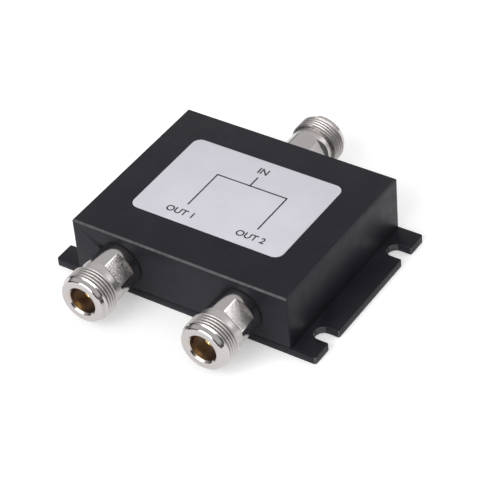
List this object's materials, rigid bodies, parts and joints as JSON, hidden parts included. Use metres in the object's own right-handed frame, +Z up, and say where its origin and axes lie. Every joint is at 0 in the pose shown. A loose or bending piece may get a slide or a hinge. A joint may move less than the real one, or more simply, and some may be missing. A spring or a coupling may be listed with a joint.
{
  "type": "rf power splitter",
  "caption": "Black milled housing on a slotted base plate, with a threaded coaxial input at the rear, coaxial outputs at the front and a printed divider circuit inside.",
  "frame": {"origin": "middle of the underside of the base plate", "axes": "+Z up through the label, -Y out of the output wall, +Y out of the input wall, X across the flanges"},
  "size_m": [0.0906, 0.0992, 0.021],
  "materials": {
    "black_finish": "satin",
    "black_steel": "satin",
    "label_film": "matte",
    "laminate": "matte",
    "copper": "satin",
    "resistor": "satin",
    "plain_steel": "satin",
    "nickel_plate": "satin",
    "seal_rubber": "matte",
    "white_insulator": "satin",
    "gold_plate": "polished",
    "solder": "satin"
  },
  "bodies": {
    "root": {"housing": "black_finish", "base_plate": "black_finish", "base_plate_screws": "black_steel", "label": "label_film", "circuit_board": "laminate", "copper_track": "copper", "isolation_resistor_1": "resistor", "isolation_resistor_2": "resistor", "board_screws": "plain_steel", "input_body": "nickel_plate", "input_seal": "seal_rubber", "input_insulator": "white_insulator", "input_contact": "gold_plate", "input_solder": "solder", "output_1_body": "nickel_plate", "output_1_seal": "seal_rubber", "output_1_insulator": "white_insulator", "output_1_contact": "gold_plate", "output_1_solder": "solder", "output_2_body": "nickel_plate", "output_2_seal": "seal_rubber", "output_2_insulator": "white_insulator", "output_2_contact": "gold_plate", "output_2_solder": "solder"}
  },
  "joints": []
}
